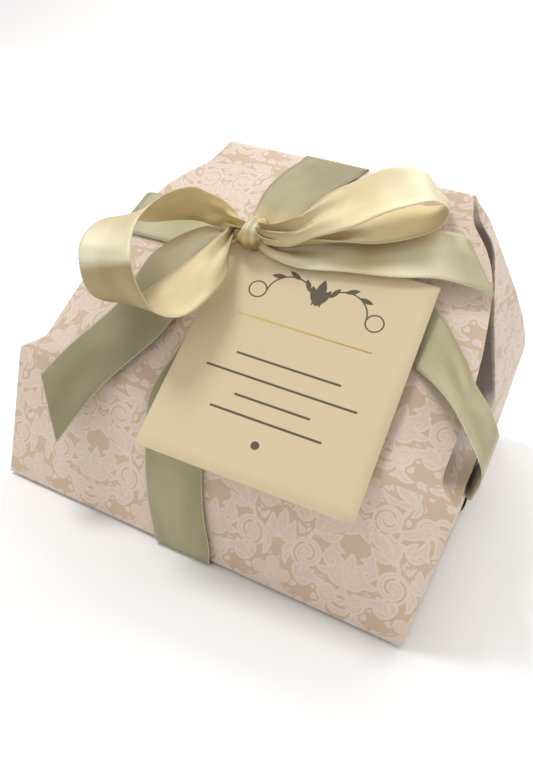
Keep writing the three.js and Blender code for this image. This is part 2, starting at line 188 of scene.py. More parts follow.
class Look:
    """A node material with one Principled shader, and short ways to add nodes to it."""

    def __init__(self, name, **shader_values):
        self.material = bpy.data.materials.new(name)
        self.material.use_nodes = True
        self.tree = self.material.node_tree
        self.tree.nodes.clear()
        surface = self.add("BsdfPrincipled")
        self.shader = surface.node
        output = self.tree.nodes.new("ShaderNodeOutputMaterial")
        self.tree.links.new(surface, output.inputs["Surface"])
        for key, value in shader_values.items():
            self.shader.inputs[key.replace("_", " ")].default_value = value

    def add(self, kind, values=(), output=0, **settings):
        """Adds a node, fills its inputs by name or place, and gives one of its outputs."""
        node = self.tree.nodes.new("ShaderNode" + kind)
        for key, value in settings.items():
            setattr(node, key, value)
        for key, value in dict(values).items():
            self.plug(value, node.inputs[key])
        return node.outputs[output]

    def plug(self, value, socket):
        if isinstance(value, Signal):
            value = value.socket
        if isinstance(value, bpy.types.NodeSocket):
            self.tree.links.new(value, socket)
        else:
            socket.default_value = value

    def math(self, operation, *values):
        return Signal(self, self.add("Math", enumerate(values), operation=operation))

    def vector_math(self, operation, *values):
        number = operation in ("DISTANCE", "DOT_PRODUCT", "LENGTH")
        result = self.add("VectorMath", enumerate(values), int(number), operation=operation)
        return Signal(self, result) if number else result

    def reach(self, spot, centre):
        x, y = (float(value) for value in centre)
        return self.vector_math("DISTANCE", spot, (x, y, 0))

    def smooth(self, value, low, high):
        values = {"Value": value, "From Min": low, "From Max": high}
        steps = self.add("MapRange", values, "Result", interpolation_type="SMOOTHSTEP")
        return Signal(self, steps)

    def mix(self, share, first, second):
        return self.add("Mix", {0: share, 6: first, 7: second}, 2, data_type="RGBA")

    def split(self, vector):
        outputs = self.add("SeparateXYZ", {0: vector}).node.outputs
        return Signal(self, outputs[0]), Signal(self, outputs[1])

    def join(self, x, y):
        return self.add("CombineXYZ", {0: x, 1: y})

    def map(self, name):
        return self.add("UVMap", uv_map=name)

    def place(self):
        return self.add("TexCoord", output="Object")

    def noise(self, vector, scale, detail=2.0):
        values = {"Vector": vector, "Scale": scale, "Detail": detail}
        return Signal(self, self.add("TexNoise", values, "Fac"))

    def ramp(self, share, stops):
        colour = self.add("ValToRGB", {0: share})
        elements = colour.node.color_ramp.elements
        while len(elements) < len(stops):
            elements.new(0.5)
        for element, (position, shade) in zip(elements, stops):
            element.position, element.color = position, shade
        return colour

    def colour(self, value):
        self.plug(value, self.shader.inputs["Base Color"])

    def roughness(self, value):
        self.plug(value, self.shader.inputs["Roughness"])

    def bump(self, height, distance):
        normal = self.add("Bump", {"Height": height, "Distance": distance})
        self.plug(normal, self.shader.inputs["Normal"])


# ---- printed damask ----
# One half of the repeat, in millimetres, mirrored at both sides: [x, y] from its lower corner.
HALF_REPEAT = 33
REPEAT_HEIGHT = 70
REPEAT_SCALE = 0.86
MIRROR_X = 37
FIGURE_SPREAD = 0.4
SCROLL_TURNS = 1.75
SCROLL_FILL = 0.27
SCROLL_EYE = 1.2
LEAF_SLIMNESS = 0.34
LEAF_BEND = 0.26
FROND_STEP = 44
FROND_LEAN = 52
FROND_SIZES = (6.5, 1.2)
STEM_HALF_WIDTH = 0.55
BUD_SPACING = 4.6
BUD_RADIUS = 1.3
BUD_CLEARANCE = 1.6

# Scrolls: centre, outer radius, turning hand, phase.
SCROLLS = [
    ((13.5, 27), 7.0, 1, 0.15), ((23.5, 55), 6.2, -1, 0.6),
    ((7.5, 57), 4.6, 1, 0.9), ((26.5, 13), 4.4, 1, 0.35),
]
# Leaf sprays: foot, direction in degrees, longest leaf, and the leaves' angles either side.
SPRAYS = [
    ((33, 20), 90, 15, (0, 28, 56)), ((0, 30), 90, 13, (0, 30, 60)),
    ((17, 38), 52, 13, (-34, 0, 34)), ((12, 43), 140, 9, (-30, 0, 34)),
    ((22, 32), -20, 10, (-38, 0, 36)), ((14, 66), 20, 11, (-32, 0, 32)),
    ((11, 14), 40, 10, (-34, 0, 34)), ((31, 44), 110, 8, (-30, 0, 30)),
]
# Fronds: how many leaves curl off each scroll's rim, and where round it they start, in degrees.
FRONDS = [(5, 200), (5, 20), (4, 120), (4, 250)]
# Trailing leaves: foot, direction, length and bend.
TRAILING = [
    ((20, 16), 150, 8, 0.2), ((21, 24), 20, 9, -0.2), ((4, 22), 60, 8, 0.2),
    ((28, 30), 160, 7, -0.2), ((3, 44), 70, 8, -0.2), ((17, 45), 20, 7, 0.2),
    ((30, 50), -110, 8, 0.2), ((15, 60), 100, 7, 0.2), ((28, 66), 190, 8, 0.2),
    ((19, 4), 30, 9, -0.2), ((12, 4), 160, 8, 0.2), ((19, 68), 60, 8, 0.2),
]
# Stems: circle's centre and radius, and the direction of the half that is drawn.
STEMS = [
    ((30, 30), 17.5, (-1, -0.3)), ((4, 44), 13.5, (0.7, 0.7)), ((30, 66), 14.0, (-0.9, 0.45)),
]
# Flowers: centre and petal length.
FLOWERS = [((0, 10), 9.2), ((33, 64), 5.6), ((0, 80), 9.2), ((33, -6), 5.6)]
FLOWER_PETALS = 5


def leaf(look, spot, foot, direction, length, bend=0.0):
    """A pointed leaf from its foot, between two arcs that meet at its ends; bend curls it."""
    half = length / 2
    heading = math.radians(direction)
    ahead = np.array([math.cos(heading), math.sin(heading)])
    aside = np.array([-ahead[1], ahead[0]])
    middle = np.array(foot) + ahead * half
    sides = []
    for rise in (bend * 2 + LEAF_SLIMNESS, bend * 2 - LEAF_SLIMNESS):
        rise = rise if abs(rise) > 0.02 else 0.02
        radius = half * (1 + rise * rise) / (2 * abs(rise))
        centre = middle + aside * (half * rise - math.copysign(radius, rise))
        sides.append((look.reach(spot, centre), radius, rise))
    (outer, outer_radius, outer_rise), (inner, inner_radius, inner_rise) = sides
    first = outer - outer_radius if outer_rise > 0 else outer_radius - outer
    second = inner_radius - inner if inner_rise > 0 else inner - inner_radius
    return look.math("MAXIMUM", first, second)


def damask(look, paper_map):
    """How far each point lies outside the printed figures, in millimetres, negative inside."""
    across, along = look.split(paper_map)
    folded = look.math("PINGPONG", (across - MIRROR_X) / REPEAT_SCALE, HALF_REPEAT)
    level = look.math("WRAP", along / REPEAT_SCALE, REPEAT_HEIGHT, 0.0)
    spot = look.join(folded, level)
    outside = None

    def include(distance):
        nonlocal outside
        outside = distance if outside is None else look.math("MINIMUM", outside, distance)

    def around(centre):
        offset = look.vector_math("SUBTRACT", spot, (*centre, 0))
        return look.vector_math("LENGTH", offset), *look.split(offset)

    for centre, radius, hand, phase in SCROLLS:
        pitch = radius / SCROLL_TURNS
        far, dx, dy = around(centre)
        turn = look.math("ARCTAN2", dy, dx) * (hand / (2 * math.pi))
        coil = look.math("FRACT", far / pitch - turn + phase)
        band = (abs(coil - 0.5) - SCROLL_FILL) * pitch
        include(look.math("MAXIMUM", band, far - radius))
        include(far - SCROLL_EYE)

    for foot, direction, length, spread in SPRAYS:
        for angle in spread:
            size = length * (1 - abs(angle) / 150)
            bend = LEAF_BEND * angle / 60
            include(leaf(look, spot, foot, direction + angle, size, bend))
            if direction == 90 and angle:
                include(leaf(look, spot, foot, direction - angle, size, -bend))

    for (centre, radius, hand, _), (count, start) in zip(SCROLLS, FRONDS):
        for i in range(count):
            turn = math.radians(start + hand * i * FROND_STEP)
            rim = radius - 0.6
            foot = (centre[0] + rim * math.cos(turn), centre[1] + rim * math.sin(turn))
            heading = math.degrees(turn) + hand * FROND_LEAN
            size = FROND_SIZES[0] + FROND_SIZES[1] * i
            include(leaf(look, spot, foot, heading, size, -LEAF_BEND * hand))

    for foot, direction, length, bend in TRAILING:
        include(leaf(look, spot, foot, direction, length, bend))

    for centre, radius, (toward_x, toward_y) in STEMS:
        band = abs(look.reach(spot, centre) - radius) - STEM_HALF_WIDTH
        side = look.vector_math("DOT_PRODUCT", spot, (toward_x, toward_y, 0))
        edge = toward_x * centre[0] + toward_y * centre[1] + radius * 0.25
        include(look.math("MAXIMUM", band, edge - side))

    for centre, petal in FLOWERS:
        far, dx, dy = around(centre)
        turn = look.math("ARCTAN2", dx, dy) * (FLOWER_PETALS / 2)
        lobe = look.math("POWER", abs(look.math("COSINE", turn)), 0.6)
        rim = far - (lobe * 0.62 + 0.38) * petal
        eye = abs(far - petal * 0.24) - 0.35
        include(look.math("MAXIMUM", rim, 0 - eye))

    cells = {"Vector": spot, "Scale": 1 / BUD_SPACING}
    bud = Signal(look, look.add("TexVoronoi", cells, "Distance")) * BUD_SPACING - BUD_RADIUS
    include(look.math("MAXIMUM", bud, BUD_CLEARANCE - outside))
    return outside - FIGURE_SPREAD


PAPER_GROUND = (srgb(208, 184, 159), srgb(201, 177, 152))
PAPER_BLOOM = (srgb(222, 203, 188), srgb(217, 197, 182))
PAPER_VEIN = srgb(209, 187, 168)
PAPER_OUTLINE = srgb(230, 213, 199)
PLEAT_SHADOW = srgb(74, 58, 45)
OUTLINE_INSET = 0.5
VEIN_INSET = 1.5


def paper_look():
    """Matt paper printed with the damask, its figures outlined and veined, with painted shade deep
    in the pleats.
    """
    look = Look("damask_paper", Roughness=0.58, Specular_IOR_Level=0.35, Sheen_Weight=0.08)
    outside = damask(look, look.map("paper"))
    figure = look.smooth(outside, 0.22, -0.12)
    outline = look.smooth(abs(outside + OUTLINE_INSET), 0.42, 0.12)
    vein = look.smooth(abs(outside + VEIN_INSET), 0.5, 0.1)
    cloud = look.noise(look.place(), 26, 3)
    ground = look.mix(cloud, *PAPER_GROUND)
    bloom = look.mix(cloud, *PAPER_BLOOM)
    printed = look.mix(figure, ground, bloom)
    veined = look.mix(vein * 0.3, printed, PAPER_VEIN)
    lined = look.mix(outline * 0.4, veined, PAPER_OUTLINE)
    # painted shade: the "depth" map darkens the pleats' insides towards PLEAT_SHADOW
    depth, _ = look.split(look.map("depth"))
    look.colour(look.mix(depth * 0.92, lined, PLEAT_SHADOW))
    fibre = look.noise(look.place(), 900, 4)
    look.roughness(0.5 + fibre * 0.16 - figure * 0.05)
    look.bump(fibre, 0.00012)
    return look.material


# ---- satin, card and food finishes ----
CREAM = srgb(216, 200, 160)
# painted highlight, and painted light on stretches of ribbon that lie in shade
PALE_CREAM = srgb(240, 232, 204)
PICOT_CREAM = srgb(232, 226, 198)
GOLD = srgb(222, 198, 142)
# painted light: lifts the left loop's shaded underside
WARM_GOLD = srgb(238, 216, 164)
# painted shade: for pleat valleys, the knot's underside and the twist below it
SHADE_GOLD = srgb(160, 134, 84)
# painted shade below the left loop's painted highlight
SHADE_OLIVE = srgb(168, 150, 110)
SAGE = srgb(166, 160, 130)
LIGHT_SAGE = srgb(196, 189, 158)
DARK_SAGE = srgb(148, 141, 112)
SATIN_DIMMED = (0.84, 0.83, 0.78)
SELVEDGE = (11.9, 12.3)
# The weave's waves, in radians a millimetre.
RIB_WAVES = 17.0
WARP_WAVES = 21.0


def satin_look(name, stops):
    """Ribbon satin: its colour runs through the stops along the ribbon, its own colours with
    painted highlights and painted shade; paler at the selvedges, painted shade in the pleats,
    drifts a little between."""
    look = Look(name, Metallic=0.25, Specular_IOR_Level=0.75, Anisotropic=0.7,
                Sheen_Weight=0.15, Sheen_Roughness=0.35, Specular_Tint=srgb(250, 240, 205))
    across, along = look.split(look.map("ribbon"))
    share, valley = look.split(look.map("length"))
    # painted shade: deep gold mixed in along the pleat valleys
    shade = look.mix(valley * 0.6, look.ramp(share, stops), SHADE_GOLD)
    drift = look.noise(look.join(across * 0.06, along * 0.03), 1.0, 2)
    darker = look.vector_math("MULTIPLY", shade, SATIN_DIMMED)
    body = look.mix(look.smooth(drift, 0.35, 0.65), darker, shade)
    edge = look.smooth(abs(across - RIBBON_WIDTH / 2), *SELVEDGE)
    look.colour(look.mix(edge * 0.5, body, PICOT_CREAM))
    slub = look.noise(look.join(across * 0.35, along * 2.6), 1.0, 3)
    look.roughness(0.33 + slub * 0.1 + edge * 0.12)
    ribs = look.math("SINE", along * RIB_WAVES)
    warp = look.math("SINE", across * WARP_WAVES)
    look.bump(ribs * 0.6 + warp * 0.4 + slub * 1.2, 0.00002)
    tangent = look.add("Tangent", direction_type="UV_MAP", uv_map="ribbon")
    look.plug(tangent, look.shader.inputs["Tangent"])
    return look.material


CARD_PAPER = (srgb(222, 204, 169), srgb(212, 193, 156))
CARD_INK = srgb(62, 54, 42)
CARD_GILT = srgb(196, 164, 84)
# The tag's print, from its middle in millimetres. Each side of the sprig has arcs (distance out,
# height, radius, and which half is drawn: 1 upper, -1 lower) and leaves (foot and direction).
SPRIG_ARCS = [(11, 26, 9.5, 1), (24, 26, 3.5, -1), (24, 26, 3.5, 1)]
SPRIG_LEAVES = [(4, 31, 60), (9, 35, 25), (15, 34.6, -10)]
SPRIG_FOOT = (0, 26)
# Ruled bars: height and half length.
PRINTED_BARS = [(-2, 21), (-10, 30), (-18, 15), (-25, 22)]
GILT_BAR = (14, 27)
DOT, DOT_RADIUS = (0, -34), 1.6
LINE_HALF_WIDTH, BAR_HALF_WIDTH = 0.3, 0.45


def card_look():
    """Fibrous card with a plain sprig, a gilt rule, four bars and a dot."""
    look = Look("tag_card", Specular_IOR_Level=0.4, Coat_Weight=0.05)
    across, up = look.split(look.map("card"))
    fibre = look.noise(look.place(), 1400, 3)
    cloud = look.noise(look.place(), 18, 2)
    paper = look.mix(cloud, *CARD_PAPER)
    spot = look.join(across, up)

    def half_ring(centre, radius, half_drawn):
        band = abs(look.reach(spot, centre) - radius) - LINE_HALF_WIDTH
        side = look.vector_math("DOT_PRODUCT", spot, (0, half_drawn, 0))
        return look.math("MAXIMUM", band, half_drawn * centre[1] - side)

    def bar(centre_up, half_length, half_width):
        thick = abs(up - centre_up) - half_width
        return look.math("MAXIMUM", abs(across) - half_length, thick)

    marks = []
    for side in (-1, 1):
        for out, height, radius, half_drawn in SPRIG_ARCS:
            marks.append(half_ring((side * out, height), radius, half_drawn))
        for out, height, angle in SPRIG_LEAVES:
            heading = angle if side > 0 else 180 - angle
            marks.append(leaf(look, spot, (side * out, height), heading, 6))
        marks.append(leaf(look, spot, SPRIG_FOOT, 90 - side * 25, 9))
    marks.append(leaf(look, spot, SPRIG_FOOT, 90, 12))
    for centre_up, half_length in PRINTED_BARS:
        marks.append(bar(centre_up, half_length, BAR_HALF_WIDTH))
    marks.append(look.reach(spot, DOT) - DOT_RADIUS)
    dark = marks[0]
    for mark in marks[1:]:
        dark = look.math("MINIMUM", dark, mark)
    ink = look.smooth(dark, 0.12, -0.08)
    rule = look.smooth(bar(*GILT_BAR, LINE_HALF_WIDTH), 0.1, -0.05)
    inked = look.mix(ink * 0.9, paper, CARD_INK)
    look.colour(look.mix(rule, inked, CARD_GILT))
    look.plug(rule * 0.8, look.shader.inputs["Metallic"])
    look.roughness(0.55 + fibre * 0.2 - rule * 0.3)
    look.bump(fibre + rule * 3.0, 0.00005)
    return look.material


def food_look(name, stops, scale, roughness, bump_distance, **shader_values):
    """A grainy finish whose colour runs through the stops with the grain."""
    look = Look(name, **shader_values)
    grain = look.noise(look.place(), scale, 6)
    look.colour(look.ramp(grain, stops))
    look.roughness(roughness + grain * 0.15)
    look.bump(grain, bump_distance)
    return look.material


# ---- mesh building ----
def linked(name, data):
    """A new object in the scene."""
    piece = bpy.data.objects.new(name, data)
    bpy.context.collection.objects.link(piece)
    return piece


def smooth_mesh(name, points, faces):
    mesh = bpy.data.meshes.new(name)
    mesh.from_pydata(points, [], faces)
    mesh.polygons.foreach_set("use_smooth", [True] * len(mesh.polygons))
    return mesh


def shown_mesh(name, points, faces, maps, material, slot, node, thickness=0, offset=0):
    """A piece from points in millimetres; maps are per-face-corner coordinates by name."""
    scaled = [tuple(float(value) * MM for value in point) for point in points]
    mesh = smooth_mesh(name, scaled, faces)
    for map_name, corners in maps.items():
        layer = mesh.uv_layers.new(name=map_name)
        layer.data.foreach_set("uv", np.asarray(corners, dtype=np.float32).ravel())
    mesh.validate()
    mesh.set_sharp_from_angle(angle=math.radians(34))
    mesh.materials.append(material)
    piece = linked(name, mesh)
    if thickness:
        solid = piece.modifiers.new("thickness", "SOLIDIFY")
        solid.thickness = thickness * MM
        solid.offset = offset
    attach(piece, "root")
    if node:
        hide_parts(node)
    return piece


def grid_faces(rows, columns, closed=False):
    """Quads over a grid of points stored row by row."""
    last = columns if closed else columns - 1
    faces = []
    for row in range(rows - 1):
        for column in range(last):
            here = row * columns + column
            right = row * columns + (column + 1) % columns
            faces.append((here, right, right + columns, here + columns))
    return faces


def corner_map(faces, values):
    return [values[index] for face in faces for index in face]


def ripple(x, y, z, size, seed):
    """Smooth noise from -1 to 1, with features about size millimetres across."""
    return noise.noise(Vector((x / size + seed, y / size - seed, z / size)))


# ---- wrapping paper ----
PANEL_COLUMNS = 96
END_COLUMNS = 8
WALL_ROWS = 22
SLOPE_ROWS = 64
FOLD_ROWS = 6
CREASE_ROUNDING = (4.5, 3.2)
PLEAT_PLACE = 0.2
# the pleat depth in millimetres at which the painted pleat shade is full
PLEAT_GLOOM_DEPTH = 12
RIDGE_CAP = 0.8
FLAP_LENGTH = 26
FLAP_INSET = 1.2


def wrap_rows():
    """Each row's height, front and rear depth, and share of the slant."""
    rows = []

    def wall(z):
        along = (z - BASE_Z) / (CREASE_Z - BASE_Z)
        lean = BASE_HALF_DEPTH + (CREASE_HALF_DEPTH - BASE_HALF_DEPTH) * along
        return -lean, lean

    def slope(z):
        share = (z - CREASE_Z) / RISE
        return -CREASE_HALF_DEPTH + FRONT_RUN * share, CREASE_HALF_DEPTH - BACK_RUN * share

    below, above = CREASE_Z - CREASE_ROUNDING[0], CREASE_Z + CREASE_ROUNDING[1]
    for i in range(WALL_ROWS):
        z = BASE_Z + (below - BASE_Z) * i / WALL_ROWS
        rows.append((z, *wall(z), 0.0))
    for i in range(FOLD_ROWS):
        t = i / FOLD_ROWS
        weights = ((1 - t) ** 2, 2 * t * (1 - t), t * t)
        z = weights[0] * below + weights[1] * CREASE_Z + weights[2] * above
        knots = (wall(below), wall(CREASE_Z), slope(above))
        pleat_shades = [sum(w * knot[side] for w, knot in zip(weights, knots)) for side in (0, 1)]
        rows.append((z, *pleat_shades, max(0.0, (z - CREASE_Z) / RISE)))
    for i in range(SLOPE_ROWS + 1):
        z = above + (RIDGE_Z - above) * i / SLOPE_ROWS
        rows.append((z, *slope(z), (z - CREASE_Z) / RISE))
    return rows


def wrap_ring(z, y_front, y_back, share):
    """The paper's outline at one height with its paper coordinates and painted pleat shade,
    anticlockwise from above.
    """
    wall = min(1.0, (z - BASE_Z) / (CREASE_Z - BASE_Z))
    tables = (HALF_WIDTHS, MIDDLE_FOLDS, REAR_HALF_WIDTHS, PLEAT_DEPTHS)
    if share > 0:
        half, middle, rear_half, pleat = (eased(table, share) for table in tables)
        tilt_front = (-RISE / FRONT_SLANT, FRONT_RUN / FRONT_SLANT)
        tilt_back = (RISE / BACK_SLANT, BACK_RUN / BACK_SLANT)
        up_front, up_back = FRONT_SLANT / RISE, BACK_SLANT / RISE
        calm = min(1.0, 6 * share) * min(1.0, 8 * (1 - share))
    else:
        feet = (BASE_HALF_LENGTH, MIDDLE_BASE, REAR_BASE, 0)
        half, middle, rear_half, pleat = (foot + (table[0] - foot) * wall
                                          for foot, table in zip(feet, tables))
        tilt_front, tilt_back = (-1.0, 0.18), (1.0, 0.18)
        up_front = up_back = 1.02
        calm = 0.6
    y_middle = (y_front + y_back) / 2
    pleat_x = half + (middle - half) / 2 - pleat
    pleat_y = y_front + PLEAT_PLACE * (y_back - y_front)
    gloom = min(1.0, pleat / PLEAT_GLOOM_DEPTH)
    up_front *= z - CREASE_Z
    up_back *= z - CREASE_Z
    above_base = min(1.0, (z - BASE_Z) / 8)
    calm *= above_base
    points, marks, pleat_shades = [], [], []

    def face(side, half, y, tilt, up):
        for i in range(PANEL_COLUMNS):
            x = side * half * (2 * i / PANEL_COLUMNS - 1)
            dent = 0.5 * ripple(x, up, side, 34, 3.1) + 0.16 * ripple(x, up, side, 11, 8.4)
            inside = max(0.0, 1 - (x / half) ** 8)
            lift = bulge(x, share) + dent * calm * inside
            if share <= 0:
                lift += 1.2 * math.sin(math.pi * wall) * max(0.0, 1 - (x / half) ** 2)
            points.append((x, y + tilt[0] * lift, z + tilt[1] * lift))
            marks.append((x * side, up))
            pleat_shades.append((0.0, 0.0))

    def end(side, corners, start):
        """From one panel's edge to the other's, by way of the pleat and the middle fold. The
        points crowd towards the fold, where the painted shade of the pleat stops short."""
        walked = start
        pleated = 0 if side > 0 else 2
        for leg, ((x0, y0), (x1, y1)) in enumerate(zip(corners, corners[1:])):
            for i in range(END_COLUMNS):
                t = i / END_COLUMNS
                if leg == 1:
                    t = 1 - (1 - t) ** 2 if side > 0 else t * t
                x, y = x0 + (x1 - x0) * t, y0 + (y1 - y0) * t
                sway = 0.9 * math.sin(math.pi * t) * ripple(y, z, side, 22, 5.7)
                points.append((x + sway * above_base, y, z))
                marks.append((walked + math.hypot(x1 - x0, y1 - y0) * t, up_front))
                # painted shade inside the pleat: it rises fast from the panel's edge, stays full
                # up to the middle fold and stops there; gloom scales it with the pleat's depth
                inward = t if side > 0 else 1 - t
                shade = min(1.0, 5 * inward) if leg == pleated else 1 - inward**60
                if leg == 2 - pleated:
                    shade = 0.0
                pleat_shades.append((shade * gloom, 0.0))
            walked += math.hypot(x1 - x0, y1 - y0)

    face(1, half, y_front, tilt_front, up_front)
    end(1, [(half, y_front), (pleat_x, pleat_y), (middle, y_middle),
            (rear_half, y_back)], half)
    face(-1, rear_half, y_back, tilt_back, up_back)
    end(-1, [(-rear_half, y_back), (-middle, y_middle), (-pleat_x, pleat_y),
             (-half, y_front)], rear_half)
    return points, marks, pleat_shades


def wrap_sheet(material):
    points, marks, pleat_shades = [], [], []
    rows = wrap_rows()
    for row in rows:
        ring, ring_marks, ring_pleat_shades = wrap_ring(*row)
        points += ring
        marks += ring_marks
        pleat_shades += ring_pleat_shades
    columns = len(points) // len(rows)
    faces = grid_faces(len(rows), columns, closed=True)
    # where the print starts afresh, the face before it carries on by its neighbour's step
    rear_start = PANEL_COLUMNS + 3 * END_COLUMNS
    seams = (PANEL_COLUMNS - 1, rear_start - 1, rear_start + PANEL_COLUMNS - 1, columns - 1)
    corners = []
    for face in faces:
        values = [marks[index] for index in face]
        if face[0] % columns in seams:
            step = values[0][0] - marks[face[0] - 1][0]
            values[1] = (values[0][0] + step, values[1][1])
            values[2] = (values[3][0] + step, values[2][1])
        corners += values
    pleat_shade_corners = corner_map(faces, pleat_shades)
    # the ridge: the front panel's top edge rolls over to meet the rear panel's
    top = (len(rows) - 1) * columns
    rear = top + rear_start
    crown = []
    for i in range(PANEL_COLUMNS + 1):
        crown.append(len(points))
        points.append((points[top + i][0], RIDGE_Y + MOUTH_WIDTH / 2, RIDGE_Z + RIDGE_CAP))
    for i in range(PANEL_COLUMNS):
        left, right = top + i, top + i + 1
        far_left, far_right = rear + PANEL_COLUMNS - i, rear + PANEL_COLUMNS - i - 1
        for quad in ((left, right, crown[i + 1], crown[i]),
                     (crown[i], crown[i + 1], far_right, far_left)):
            faces.append(quad)
            corners += [(points[index][0], FRONT_SLANT + 1) for index in quad]
    faces.append(tuple(reversed(range(columns))))
    corners += [(points[index][0], points[index][1]) for index in reversed(range(columns))]
    pleat_shade_corners += [(0.0, 0.0)] * (len(corners) - len(pleat_shade_corners))
    shown_mesh("wrap_paper", points, faces, {"paper": corners, "depth": pleat_shade_corners},
               material, "wrapping_paper", "wrap_sheet", PAPER_THICKNESS, -1)


def back_flap(material):
    """The front panel's spare paper, folded over the ridge and down the rear panel."""
    rows, columns = 16, 60
    points, marks = [], []
    for row in range(rows):
        for column in range(columns):
            slant = BACK_SLANT - 0.5 - FLAP_LENGTH * row / (rows - 1)
            half = eased(REAR_HALF_WIDTHS, slant / BACK_SLANT) - FLAP_INSET
            x = half * (1 - 2 * column / (columns - 1))
            lift = 0.45 + 0.5 * (row / (rows - 1)) ** 3 + 0.15 * ripple(x, slant, 0, 18, 2.2)
            points.append(tuple(on_back(x, slant, lift)))
            marks.append((x, FRONT_SLANT + BACK_SLANT - slant))
    faces = [tuple(reversed(face)) for face in grid_faces(rows, columns)]
    maps = {"paper": corner_map(faces, marks), "depth": [(0.0, 0.0)] * (4 * len(faces))}
    shown_mesh("wrap_rear_flap", points, faces, maps, material, "wrapping_paper", None,
               PAPER_THICKNESS)


# ---- ribbon ----
def catmull_rom(stations, t):
    """A point on the centripetal curve through the stations, t from 0 to 1."""
    last = len(stations) - 1
    place = t * last
    i = min(int(place), last - 1)
    w = place - i
    p1, p2 = stations[i], stations[i + 1]
    p0 = stations[i - 1] if i > 0 else 2 * stations[0] - stations[1]
    p3 = stations[i + 2] if i + 2 <= last else 2 * stations[last] - stations[last - 1]
    d0, d1, d2 = (max(1e-4, math.sqrt(np.linalg.norm(b - a))) for a, b in
                  ((p0, p1), (p1, p2), (p2, p3)))
    m1 = ((p1 - p0) / d0 - (p2 - p0) / (d0 + d1) + (p2 - p1) / d1) * d1
    m2 = ((p2 - p1) / d1 - (p3 - p1) / (d1 + d2) + (p3 - p2) / d2) * d1
    return p1 + m1 * w + (3 * (p2 - p1) - 2 * m1 - m2) * w**2 + (2 * (p1 - p2) + m1 + m2) * w**3


RIBBON_STEP = 0.65
ACROSS_STEPS = 16
PICOT = 0.36


def ribbon(node, stations, material, slot, held, sway, seed, pleats=1.6, gather=0.5):
    """A ribbon whose two edges run through pairs of stations. Where the edges close in, the
    satin gathers into pleats; its edges carry a row of tiny picots."""
    coarse = (len(stations) - 1) * 24
    edges = []
    for path in zip(*stations):
        edge = np.array([catmull_rom(path, i / coarse) for i in range(coarse + 1)])
        edge[:, 2] = np.maximum(edge[:, 2], FLOOR)
        edges.append(edge)
    steps_taken = np.linalg.norm(np.diff(sum(edges) / 2, axis=0), axis=1)
    walked = np.concatenate([[0], np.cumsum(steps_taken)])
    length = walked[-1]
    steps = int(length / RIBBON_STEP)
    evenly = np.linspace(0, length, steps + 1)
    near, far = (np.stack([np.interp(evenly, walked, edge[:, k]) for k in range(3)], axis=1)
                 for edge in edges)
    chords = far - near
    normals = np.cross(chords, np.gradient((near + far) / 2, axis=0))
    normals /= np.linalg.norm(normals, axis=1)[:, None]
    points, marks, shares = [], [], []
    for j in range(steps + 1):
        s, wide = evenly[j], float(np.linalg.norm(chords[j]))
        close = max(0.0, 1 - wide / (RIBBON_WIDTH - 2)) ** 0.8
        depth = gather * 0.25 * RIBBON_WIDTH / pleats * close
        for k in range(ACROSS_STEPS + 1):
            w = k / ACROSS_STEPS
            lie = ripple(w * RIBBON_WIDTH * 0.8, s, 0, 26, seed)
            fold = math.cos(2 * math.pi * pleats * w + 1.3 * ripple(0, s, 0, 14, seed + 9))
            # valley: how deep a point lies in a pleat's hollow, darkened there by the satin as
            # painted shade
            valley = max(0.0, -fold) * min(1.0, 2 * close)
            lift = depth * fold + sway * lie
            reach = w
            if k in (0, ACROSS_STEPS) and j % 2:
                reach += math.copysign(PICOT / max(wide, 1), w - 0.5)
            point = near[j] + chords[j] * reach + normals[j] * lift
            point[2] = max(point[2], FLOOR)
            points.append(point)
            marks.append((w * RIBBON_WIDTH, s))
            shares.append((s / length, valley))
    faces = grid_faces(steps + 1, ACROSS_STEPS + 1)
    maps = {"ribbon": corner_map(faces, marks), "length": corner_map(faces, shares)}
    piece = shown_mesh(node + "_satin", points, faces, maps, material, slot, node,
                       RIBBON_THICKNESS)


def pairs(place, rows):
    """Station pairs from rows that hold the places of the ribbon's two edges."""
    return [(place(*row[:3]), place(*row[3:])) for row in rows]


def pair(place, left, right, *rest):
    """A station pair whose edges differ only in their place across."""
    return place(left, *rest), place(right, *rest)


def lengthwise_stations():
    """From the knot up the front, over the ridge, under the base and back up to the knot."""
    sides = (-RIBBON_WIDTH / 2, RIBBON_WIDTH / 2)
    depth = BASE_HALF_DEPTH
    stations = pairs(on_front, [
        (-19, 74, 0.9, -9, 74, 0.9), (-24, 88, 1, -5, 88, 1), (-26, 105, 1, 0, 105, 1),
        (-23, 119, 1, 6, 119, 1),
    ])
    stations += [
        pair(front, -20, 9, 127, 1.2),
        pair(at, -19, 10, RIDGE_Y + 2, RIDGE_Z + 1.6),
        pair(back, -18, 10, 109, 1.8),
        pair(on_back, -16, 11, 90, 1.4),
        pair(on_back, -14, 12, 50, 1.6),
        pair(on_back, -13, 12, 20, 1.6),
        pair(back, *sides, 2, 2.5),
        pair(at, *sides, 95, 40),
        pair(at, *sides, depth + 1, 8),
        pair(at, *sides, depth + 2.2, 2),
    ]
    for share in (1, 0.97, 0.5, 0, -0.5, -0.97, -1):
        stations.append(pair(at, *sides, depth * share, FLOOR))
    stations += [
        pair(at, *sides, -depth - 2.2, 2),
        pair(at, -15, 11, -depth - 1.4, 8),
        pair(at, -20, 6, -99.5, 20),
        pair(at, -25, 1, -96, 38),
        pair(front, -27, -1, -1, 3.5),
    ]
    return stations + pairs(on_front, [
        (-25, 18, 2, -1, 18, 2), (-23, 40, 1.2, -1, 40, 1.2), (-21, 57, 1, -6, 57, 1),
        (-18, 70, 0.9, -10, 70, 0.9),
    ])


